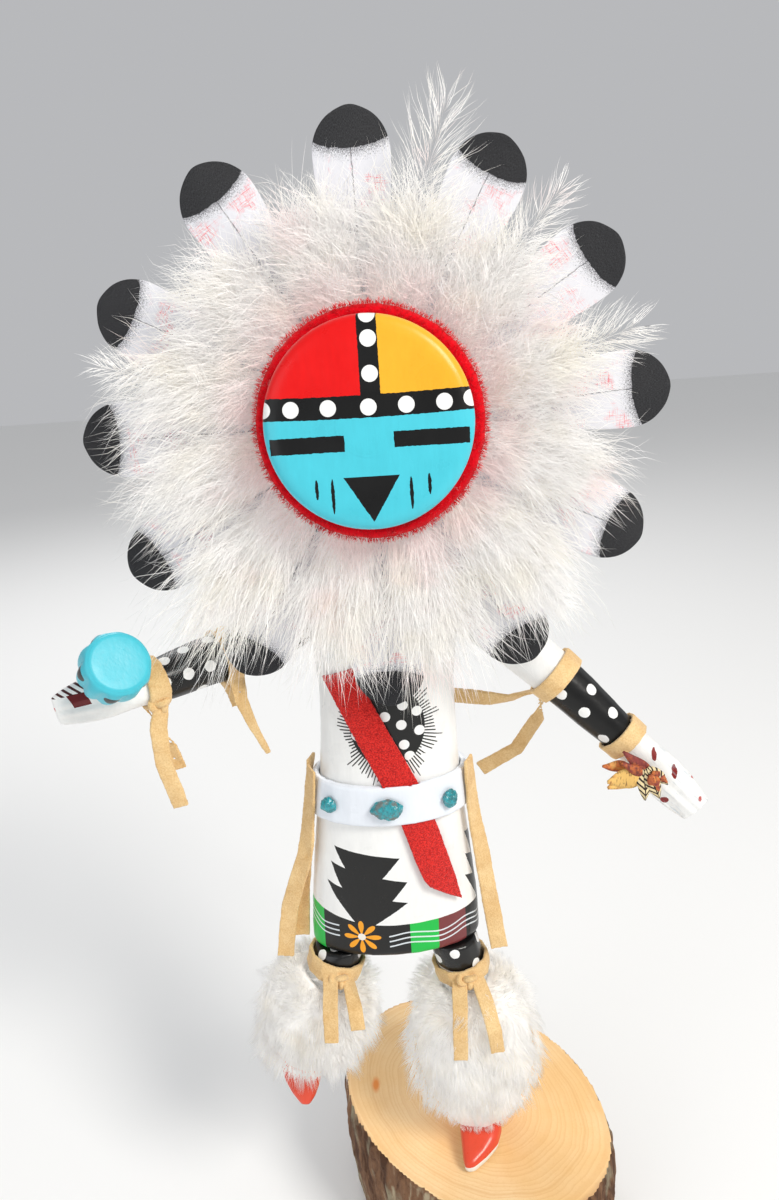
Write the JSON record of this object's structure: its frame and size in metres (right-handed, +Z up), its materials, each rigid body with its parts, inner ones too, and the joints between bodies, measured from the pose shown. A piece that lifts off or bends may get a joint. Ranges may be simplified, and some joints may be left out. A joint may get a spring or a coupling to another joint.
{
  "type": "kachina doll",
  "caption": "Carved and painted dancing figure with a round sun face in a halo of paddle feathers, standing on one foot on an oval slice of log.",
  "frame": {"origin": "the middle of the wood slice's flat underside", "axes": "+Z up, the figure faces -Y, +X towards the figure's left hand"},
  "size_m": [0.2031, 0.1162, 0.4216],
  "materials": {
    "wood_slice": "matte",
    "white_paint": "satin",
    "turquoise_paint": "satin",
    "red_yarn": "matte",
    "feather_paint": "matte",
    "white_down": "matte",
    "black_dotted_paint": "satin",
    "leg_paint": "satin",
    "white_fur": "matte",
    "tan_suede": "matte",
    "red_suede": "matte",
    "white_belt": "satin",
    "turquoise_stone": "polished",
    "dry_leaves": "matte"
  },
  "bodies": {
    "root": {"wood_stand": "wood_slice", "torso_and_kilt": "white_paint", "head": "turquoise_paint", "rattle": "turquoise_paint", "red_yarn_ring": "red_yarn", "halo_feather_01": "feather_paint", "halo_feather_02": "feather_paint", "halo_feather_03": "feather_paint", "halo_feather_04": "feather_paint", "halo_feather_05": "feather_paint", "halo_feather_06": "feather_paint", "halo_feather_07": "feather_paint", "halo_feather_08": "feather_paint", "halo_feather_09": "feather_paint", "halo_feather_10": "feather_paint", "halo_feather_11": "feather_paint", "halo_feather_12": "feather_paint", "down_plume_01": "white_down", "down_plume_02": "white_down", "down_plume_03": "white_down", "down_plume_04": "white_down", "down_plume_05": "white_down", "down_plume_06": "white_down", "down_plume_07": "white_down", "down_plume_08": "white_down", "down_plume_09": "white_down", "down_plume_10": "white_down", "down_plume_11": "white_down", "down_plume_12": "white_down", "left_arm": "black_dotted_paint", "right_arm": "black_dotted_paint", "left_leg": "leg_paint", "right_leg": "leg_paint", "left_fur_boot": "white_fur", "right_fur_boot": "white_fur", "left_arm_tie": "tan_suede", "left_knee_tie": "tan_suede", "left_side_strap": "tan_suede", "left_wrist_band": "tan_suede", "right_elbow_tie": "tan_suede", "right_inner_side_strap": "tan_suede", "right_knee_tie": "tan_suede", "right_outer_side_strap": "tan_suede", "right_wrist_tie": "tan_suede", "red_sash": "red_suede", "belt": "white_belt", "turquoise_nugget_1": "turquoise_stone", "turquoise_nugget_2": "turquoise_stone", "turquoise_nugget_3": "turquoise_stone", "hand_bundle": "dry_leaves"}
  },
  "joints": []
}
